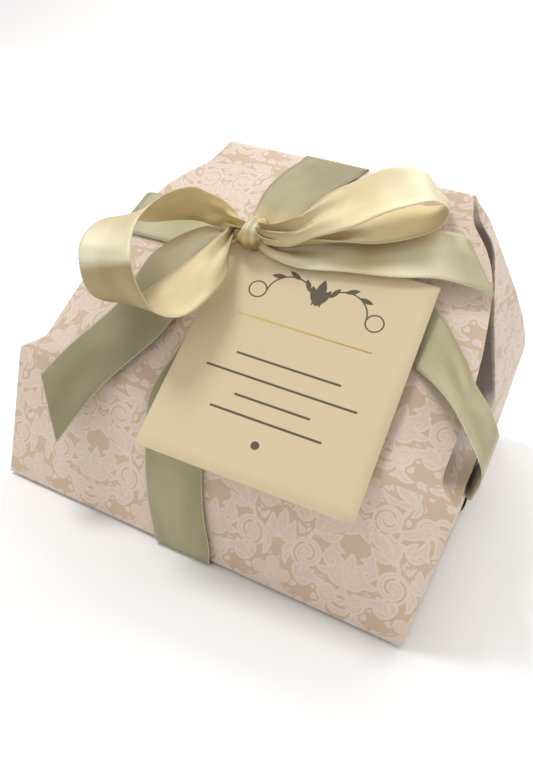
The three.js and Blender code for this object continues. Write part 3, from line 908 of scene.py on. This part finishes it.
def crosswise_stations():
    """From the knot to the right, down that end, under the base and up the left end. Each row
    under the base is its place along, its height, and how far to the rear it is drawn."""
    half = RIBBON_WIDTH / 2
    edge = MIDDLE_BASE + 0.1
    over = FLOOR + 0.8
    under = [(edge + 1.1, 8, 15), (edge + 0.9, 2.5, 16), (edge + 0.1, FLOOR, 16),
             (edge - 4, FLOOR, 15), (36, FLOOR, 0), (30, FLOOR, 0), (20, over, 0), (14, over, 0)]
    under += [(-x, z, 0) for x, z, _ in reversed(under)]
    stations = pairs(on_front, [
        (-12, 69, 2, -12, 76, 2), (2, 63, 1.5, 2, 82, 1.5), (24, 56, 1, 28, 79, 1),
        (45, 52, 1, 52, 77, 1),
    ])
    stations += pairs(front, [
        (62, 45, 3.2, 67, 67, 2.8), (73, 38, 8, 78, 55, 2), (82, 30, 12, 86, 45, 2),
        (90, 21, 14, 94, 36, 3),
    ])
    stations += pairs(at, [
        (98, -91, 75, 98.5, -68, 79), (97.5, -82, 60, 98, -60, 70),
        (94.6, -51, 41, 94.6, -29, 51), (93.8, -16, 21, 94, 7, 27),
        *((x, shift - half, z, x, shift + half, z) for x, z, shift in under),
        (-95, -14, 30, -95, 11, 30), (-96, -18, 58, -96, 7, 58),
        (-91, -29, 82, -89, -4, 86), (-86, -39, 100, -83, -20, 116),
    ])
    return stations + pairs(on_front, [
        (-78, 67, 1.2, -74, 91, 1.2), (-64, 67, 1, -60, 91, 1), (-42, 66, 1, -42, 87, 1),
        (-24, 68, 1.6, -24, 79, 1.6), (-14, 69, 2, -14, 76, 2),
    ])


# The bow: where its two edges are across, up the front slope and out from it.
LEFT_LOOP = [
    (-16.5, 75, 20.5, -16.5, 71, 20.5), (-21.5, 76, 21, -21.5, 70, 21),
    (-29, 78, 25, -34, 75, 13), (-35, 77, 30, -43, 77, 10),
    (-38, 75, 34, -50, 73, 13), (-44, 65, 39, -58, 64, 19),
    (-47, 50, 41, -69, 53, 30), (-42, 35, 41, -67, 34, 36),
    (-37, 27, 38, -58, 21, 27), (-25, 19, 33, -47, 24, 22),
    (-18, 23, 28, -37, 37, 22), (-14, 36, 24, -27, 54, 24),
    (-14, 50, 21, -25, 62, 22), (-21.2, 68, 18.5, -22, 75, 18.5),
    (-16.5, 70, 19, -16.5, 74, 19),
]

RIGHT_LOOP = [
    (-11.5, 70, 20.5, -11.5, 75, 20.5), (-6.5, 69, 21, -6.5, 76, 21),
    (3, 70, 21, 2, 85, 22), (11, 75, 22, 9, 95, 24),
    (24, 82, 24, 19, 105, 24), (35, 91, 26, 26, 114, 23),
    (47, 99, 27, 39, 121, 18), (51, 102, 25, 46, 121, 9),
    (55, 103, 20, 50, 121, 4), (54, 99, 17, 47, 119, 3),
    (46, 92, 15, 36, 113, 6), (33, 84, 15, 25, 105, 8),
    (10, 76, 16, 6, 87, 12), (-6.5, 69, 18.5, -6.5, 75, 18.5),
    (-11.5, 70, 19, -11.5, 74, 19),
]

LEFT_TAIL = [
    (-16.5, 69, 17.5, -16.5, 73, 17.5), (-21, 67, 16, -22, 72, 16.5),
    (-27, 59, 13, -36, 70, 17), (-31, 43, 9.5, -52, 53, 14),
    (-34, 24, 7, -58, 31, 8), (-48, -5, 3, -70, 7, 4),
    (-57, -31, -4, -76, -9, 2),
]

RIGHT_TAIL = [
    (-11.5, 69, 17.5, -11.5, 73, 17.5), (-6.5, 67, 16, -6.5, 72, 16),
    (8, 66, 14, 4, 79, 12), (25, 70, 12.5, 18, 91, 9.5),
    (46, 75, 11, 37, 99, 8), (60, 80, 9.5, 52, 103, 8),
    (72, 82, 7, 62, 103, 8), (81, 82, 5, 65, 101, 9),
]


# ---- tag ----
TAG_WIDTH = 85
TAG_HEIGHT = 97
TAG_HOLE = np.array([10 - TAG_WIDTH / 2, TAG_HEIGHT / 2 - 5])
TAG_HOLE_RADIUS = 1.9
TAG_THICKNESS = 0.45
TAG_CURL = 0.4
TAG_MIDDLE = (20.7, 27.7, 7.6)
TAG_ACROSS = (0.9965, 0.039, -0.0745)
TAG_UP = (-0.035, 0.9982, 0.048)


def tag_axes():
    """The tilted card's directions: across it, up it and out of its face."""
    start = front(0, 0, 0)
    across = front(*TAG_ACROSS) - start
    across /= np.linalg.norm(across)
    out = np.cross(across, front(*TAG_UP) - start)
    out /= np.linalg.norm(out)
    return across, np.cross(out, across), out


def tag_point(x, y, lift):
    """A point from the card's middle, in its own directions."""
    across, up, out = tag_axes()
    return front(*TAG_MIDDLE) + across * x + up * y + out * lift


def gift_tag(material):
    """The card, as rings that widen from the punched hole to its square outline."""
    rings, sides = 26, 160
    angles = [2 * math.pi * i / sides for i in range(sides)]
    for sx in (-1, 1):
        for sy in (-1, 1):
            corner = np.array([sx * TAG_WIDTH / 2, sy * TAG_HEIGHT / 2]) - TAG_HOLE
            angle = math.atan2(corner[1], corner[0]) % (2 * math.pi)
            closest = min(range(sides), key=lambda i: abs(angles[i] - angle))
            angles[closest] = angle
    points, marks = [], []
    for ring in range(rings):
        t = (ring / (rings - 1)) ** 1.4
        for angle in angles:
            heading = np.array([math.cos(angle), math.sin(angle)])
            reaches = []
            for axis, half in ((0, TAG_WIDTH / 2), (1, TAG_HEIGHT / 2)):
                if abs(heading[axis]) > 1e-9:
                    limit = math.copysign(half, heading[axis])
                    reaches.append((limit - TAG_HOLE[axis]) / heading[axis])
            rim = TAG_HOLE + heading * min(reaches)
            spot = (TAG_HOLE + heading * TAG_HOLE_RADIUS) * (1 - t) + rim * t
            curl = TAG_CURL * (2 * spot[0] / TAG_WIDTH) ** 2
            points.append(tag_point(*spot, curl))
            marks.append(tuple(spot))
    faces = grid_faces(rings, sides, closed=True)
    piece = shown_mesh("tag_card_sheet", points, faces, {"card": corner_map(faces, marks)},
                       material, "tag_card", "gift_tag", TAG_THICKNESS)
    edge = piece.modifiers.new("edge", "BEVEL")
    edge.width = 0.1 * MM
    edge.segments = 1
    edge.limit_method = "ANGLE"
    edge.angle_limit = math.radians(60)


# ---- knot ----
KNOT = (-14, 72, 19)
KNOT_RADII = (4.6, 7.2, 4.5)
NECK_RADIUS = 1.85
NECK_ENDS = (-1.0, 6.0)


def bow_knot(material):
    """A turn of pleated ribbon round the middle of the bow, and the twist that holds the tag."""
    turns, columns = 72, 36
    points, marks, shares = [], [], []
    for i in range(turns):
        angle = 2 * math.pi * i / turns
        facing = max(0.0, math.sin(angle))
        for k in range(columns):
            w = 2 * k / (columns - 1) - 1
            pinch = 1 - 0.16 * facing + 0.1 * (1 - facing)
            x = KNOT_RADII[0] * 0.98 * w * pinch + 0.5 * math.cos(angle)
            barrel = math.sqrt(max(0.0, 1 - abs(w) ** 3.2))
            ridge = 0.5 * math.cos(2.3 * math.pi * w + 0.8 + 0.9 * math.sin(angle + 0.5))
            thick = 0.35 + 0.65 * barrel
            slant = math.cos(angle) * (KNOT_RADII[1] * thick + ridge * barrel)
            lift = math.sin(angle) * (KNOT_RADII[2] * thick + ridge * barrel)
            points.append(front(KNOT[0] + x, KNOT[1] + slant, KNOT[2] + lift))
            marks.append((w * RIBBON_WIDTH / 2 + RIBBON_WIDTH / 2, i * 0.6))
            # painted light and shade: the colour share runs from dark on the side towards the card
            # to pale on the side facing out
            shares.append((0.5 + 0.5 * math.sin(angle), max(0.0, -ridge) * barrel))
    faces = []
    for i in range(turns):
        for k in range(columns - 1):
            here, ahead = i * columns + k, (i + 1) % turns * columns + k
            faces.append((here, here + 1, ahead + 1, ahead))
    for k in (0, columns - 1):
        rim = [i * columns + k for i in range(turns)]
        faces.append(tuple(rim if k == 0 else reversed(rim)))
    start = len(points)
    across, up, _ = tag_axes()
    rings, sides = 14, 24
    low, high = (tag_point(*TAG_HOLE, lift) for lift in NECK_ENDS)
    for ring in range(rings):
        t = ring / (rings - 1)
        for side in range(sides):
            angle = 2 * math.pi * side / sides
            offset = across * math.cos(angle) + up * math.sin(angle)
            points.append(low + (high - low) * t + offset * NECK_RADIUS)
            marks.append((side, t * 8))
            # painted shade: the twist takes the dark end of the knot's colours
            shares.append((0.1, 0))
    for face in grid_faces(rings, sides, closed=True):
        faces.append(tuple(start + index for index in face))
    faces.append(tuple(start + side for side in reversed(range(sides))))
    faces.append(tuple(start + (rings - 1) * sides + side for side in range(sides)))
    maps = {"ribbon": corner_map(faces, marks), "length": corner_map(faces, shares)}
    shown_mesh("bow_knot_roll", points, faces, maps, material, "ribbon_cream", "bow_knot")


# ---- what the paper holds ----
LATHE_SIDES = 180
LOAF_SHOULDER = 45
CRUST_INSET = 0.4
CASE_INSET = 0.36
CASE_FLUTES = 60
CASE_THICKNESS = 0.4


def turned_piece(name, profile, wobble, material, slot, node, thickness=0):
    """A lathe form whose radius and height are nudged by wobble(angle, radius, z)."""
    points = []
    for radius, z in profile:
        for side in range(LATHE_SIDES):
            angle = 2 * math.pi * side / LATHE_SIDES
            swell, rise = wobble(angle, radius, z)
            points.append(((radius + swell) * math.cos(angle), (radius + swell) * math.sin(angle),
                           z + rise))
    faces = grid_faces(len(profile), LATHE_SIDES, closed=True)
    faces.append(tuple(reversed(range(LATHE_SIDES))))
    marks = [(x, y) for x, y, _ in points]
    shown_mesh(name, points, faces, {"flat": corner_map(faces, marks)}, material, slot, node,
               thickness)


def loaf_piece():
    """The loaf: a straight side and a domed crust, scored crosswise."""
    low, high = box_mm("panettone_loaf")
    radius, shoulder = high[0] - CRUST_INSET, LOAF_SHOULDER
    height = high[2] - shoulder - CRUST_INSET
    profile = [(radius * share, low[2]) for share in (0.02, 0.5, 1)]
    profile += [(radius, low[2] + (shoulder - low[2]) * i / 8) for i in range(1, 8)]
    for i in range(41):
        climb = (math.pi / 2 - 0.01) * i / 40
        profile.append((radius * math.cos(climb), shoulder + height * math.sin(climb)))

    def wobble(angle, at_radius, z):
        x, y = at_radius * math.cos(angle), at_radius * math.sin(angle)
        crust = ripple(x, y, z, 9, 1.7) + 0.6 * ripple(x, y, z, 4, 6.2)
        if z <= shoulder:
            return -0.4 + 0.3 * crust, 0.0
        scored = min(abs(math.sin(angle)), abs(math.cos(angle))) * at_radius
        cut = math.exp(-((scored / 3.2) ** 2)) * min(1.0, (z - shoulder) / 20)
        return -0.5 + 0.3 * crust, -1.2 + 0.9 * crust - 2.2 * cut

    stops = [(0.0, srgb(84, 42, 20)), (0.45, srgb(128, 68, 30)), (0.7, srgb(164, 98, 46)),
             (1.0, srgb(196, 134, 72))]
    crust = food_look("baked_crust", stops, 140, 0.5, 0.0006, Subsurface_Weight=0.05)
    turned_piece("loaf_crust", profile, wobble, crust, "crust", "panettone_loaf")


def case_piece():
    """The fluted paper case that the loaf was baked in."""
    low, high = box_mm("baking_case")
    radius, floor = high[0] - CASE_INSET, low[2] + CASE_INSET
    profile = [(radius * share, floor) for share in (0.02, 0.4, 0.8, 0.97)]
    profile += [(radius, floor + (high[2] - floor) * i / 12) for i in range(13)]

    def wobble(angle, at_radius, z):
        flute = 0.16 * math.cos(CASE_FLUTES * angle) if at_radius > radius * 0.9 else 0.0
        return flute, 0.0

    stops = [(0.0, srgb(92, 56, 34)), (0.5, srgb(112, 70, 42)), (1.0, srgb(134, 88, 56))]
    kraft = food_look("case_kraft", stops, 420, 0.7, 0.0002)
    turned_piece("case_sheet", profile, wobble, kraft, "case_paper", "baking_case",
                 CASE_THICKNESS)


def finish_inner_nodes():
    """The clear bag and its tie keep their CAD shape."""
    film = Look("clear_film", Roughness=0.12, IOR=1.49, Transmission_Weight=0.9)
    crinkle = film.noise(film.place(), 90, 4)
    film.colour(film.mix(crinkle, srgb(246, 248, 248), srgb(236, 240, 241)))
    film.bump(crinkle, 0.0008)
    tie = Look("tie_plastic", Roughness=0.4)
    grain = tie.noise(tie.place(), 600, 2)
    tie.colour(tie.mix(grain, srgb(244, 244, 240), srgb(228, 228, 222)))
    tie.bump(grain, 0.0001)
    for node, look in (("food_bag", film), ("bag_tie", tie)):
        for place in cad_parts[node].material_slots:
            place.material = look.material


# ---- camera, light and floor (in metres) ----
CAMERA_ANGLES = (21.5, 26.4, 9.4)
CAMERA_TARGET = (-0.0158, 0.0, 0.0286)
CAMERA_DISTANCE = 0.3581
CAMERA_LENS = 32.2
# Disk lights: name, place, aim, width and watts.
LIGHTS = [
    ("key", (-0.45, -0.1, 1.0), (0, 0, 0.06), 0.35, 4.6),
    ("rear", (-0.1, 0.7, 0.85), (0, 0, 0.06), 0.8, 1.0),
    ("backdrop_wash", (0.0, 1.8, 2.4), (0.0, 3.0, 0.9), 2.5, 50.0),
]
FLOOR_HALF_WIDTH = 6.0


def studio():
    """The camera at the photo's azimuth, elevation and roll, soft light, and a floor that
    curves up into a backdrop."""
    scene = bpy.context.scene
    scene.view_settings.view_transform = "Standard"
    scene.view_settings.look = "None"
    azimuth, elevation, roll = (math.radians(a) for a in CAMERA_ANGLES)
    behind = Vector((math.sin(azimuth) * math.cos(elevation),
                     -math.cos(azimuth) * math.cos(elevation), math.sin(elevation)))
    right = Vector((0, 0, 1)).cross(behind).normalized()
    up = behind.cross(right)
    rolled_right = right * math.cos(roll) + up * math.sin(roll)
    rolled_up = up * math.cos(roll) - right * math.sin(roll)
    camera_data = bpy.data.cameras.new("camera")
    camera_data.lens = CAMERA_LENS
    camera_data.clip_start = 0.01
    camera = linked("camera", camera_data)
    spot = Vector(CAMERA_TARGET) + behind * CAMERA_DISTANCE
    camera.matrix_world = Matrix((*zip(rolled_right, rolled_up, behind, spot), (0, 0, 0, 1)))
    scene.camera = camera

    world = bpy.data.worlds.new("studio")
    world.use_nodes = True
    scene.world = world
    sky = world.node_tree.nodes["Background"]
    sky.inputs["Color"].default_value = (1.0, 0.99, 0.97, 1)
    sky.inputs["Strength"].default_value = 0.7
    for name, spot, aim, size, power in LIGHTS:
        data = bpy.data.lights.new(name, "AREA")
        data.shape = "DISK"
        data.size = size
        data.energy = power
        light = linked(name, data)
        light.location = spot
        toward = Vector(aim) - Vector(spot)
        light.rotation_euler = toward.to_track_quat("-Z", "Y").to_euler()

    bends = [math.pi / 2 * i / 16 for i in range(17)]
    profile = [(-3.0, 0.0), *((2.0 + math.sin(a), 1.0 - math.cos(a)) for a in bends), (3.0, 4.0)]
    points = [(side * FLOOR_HALF_WIDTH, y, z) for y, z in profile for side in (-1, 1)]
    mesh = smooth_mesh("floor", points, grid_faces(len(profile), 2))
    floor = linked("floor", mesh)
    pale = Look("floor_paint", Roughness=0.9, Specular_IOR_Level=0.1)
    grain = pale.noise(pale.place(), 300, 2)
    pale.colour(pale.mix(grain, (0.97, 0.97, 0.97, 1), (0.95, 0.95, 0.95, 1)))
    mesh.materials.append(pale.material)
    floor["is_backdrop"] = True


# ---- assembly ----
# Ribbons: CAD node, stations, colours along it (its own cream or sage, with painted highlights and
# painted shade in places), slot, how it is held, sway and seed of its lie, and how its pleats
# differ from the others'.
RIBBONS = [
    # lengthwise band: its own sage, darkened to dark sage as painted shade along the lit upper
    # front slope, and dark sage again at its far end by the knot
    ("ribbon_band_lengthwise", lengthwise_stations(),
     [(0.0, GOLD), (0.04, DARK_SAGE), (0.26, DARK_SAGE), (0.3, SAGE), (0.8, SAGE),
      (0.9, DARK_SAGE), (1.0, DARK_SAGE)],
     "ribbon_green", "folded", 0.12, 2.0, {}),
    # crosswise band: its own sage, with a lighter stretch past the tag's right that is painted
    # light against the shade there
    ("ribbon_band_crosswise", crosswise_stations(),
     [(0.0, SAGE), (0.15, SAGE), (0.24, LIGHT_SAGE), (0.36, LIGHT_SAGE), (0.42, SAGE),
      (1.0, SAGE)],
     "ribbon_green", "folded", 0.12, 12.0, {}),
    # left loop: painted light on the warm gold of the upper layer's underside, a pale cream
    # painted highlight across the outer turn, painted shade in olive below it, and its own cream
    # on the lower layer
    ("bow_loop_left", pairs(front, LEFT_LOOP),
     [(0.0, GOLD), (0.12, WARM_GOLD), (0.27, WARM_GOLD), (0.34, CREAM), (0.455, PALE_CREAM),
      (0.485, PALE_CREAM), (0.51, SHADE_OLIVE), (0.6, SHADE_OLIVE), (0.66, CREAM), (1.0, CREAM)],
     "ribbon_cream", "gathered", 0.7, 22.0, {}),
    # right loop: its own cream, a pale cream painted highlight at the nose and painted shade in
    # gold on the inner return
    ("bow_loop_right", pairs(front, RIGHT_LOOP),
     [(0.0, CREAM), (0.3, CREAM), (0.42, PALE_CREAM), (0.5, CREAM), (0.56, GOLD),
      (0.75, CREAM), (1.0, GOLD)],
     "ribbon_cream", "gathered", 0.7, 32.0, {"pleats": 2.0, "gather": 1.3}),
    # left tail: pale cream near the knot, painted light where it lies in the left loop's shade,
    # going over to its own sage and dark sage towards its end
    ("bow_tail_left", pairs(front, LEFT_TAIL),
     [(0.0, PALE_CREAM), (0.32, PALE_CREAM), (0.5, SAGE), (0.75, DARK_SAGE), (1.0, DARK_SAGE)],
     "ribbon_green", "gathered", 0.5, 42.0, {}),
    # right tail: its own cream and sage, with pale cream as painted light where the right loop
    # shades it
    ("bow_tail_right", pairs(front, RIGHT_TAIL),
     [(0.0, CREAM), (0.3, PALE_CREAM), (0.5, CREAM), (0.66, PALE_CREAM), (0.8, PALE_CREAM),
      (0.92, LIGHT_SAGE), (1.0, LIGHT_SAGE)],
     "ribbon_green", "gathered", 0.5, 52.0, {}),
]
# painted light and shade: deep gold where the knot faces the card and on the twist, cream to pale
# cream where it faces out
KNOT_COLOURS = [(0.0, SHADE_GOLD), (0.55, SHADE_GOLD), (0.8, GOLD), (0.95, CREAM), (1.0, PALE_CREAM)]

studio()
paper = paper_look()
wrap_sheet(paper)
back_flap(paper)
for node, stations, colours, slot, held, sway, seed, pleating in RIBBONS:
    satin = satin_look("satin_" + node, colours)
    ribbon(node, stations, satin, slot, held, sway, seed, **pleating)
bow_knot(satin_look("satin_knot", KNOT_COLOURS))
gift_tag(card_look())
loaf_piece()
case_piece()
finish_inner_nodes()

boxes = {"cad": cad_box, "visual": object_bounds()}
{key: [list(corner) for corner in value] for key, value in boxes.items()}
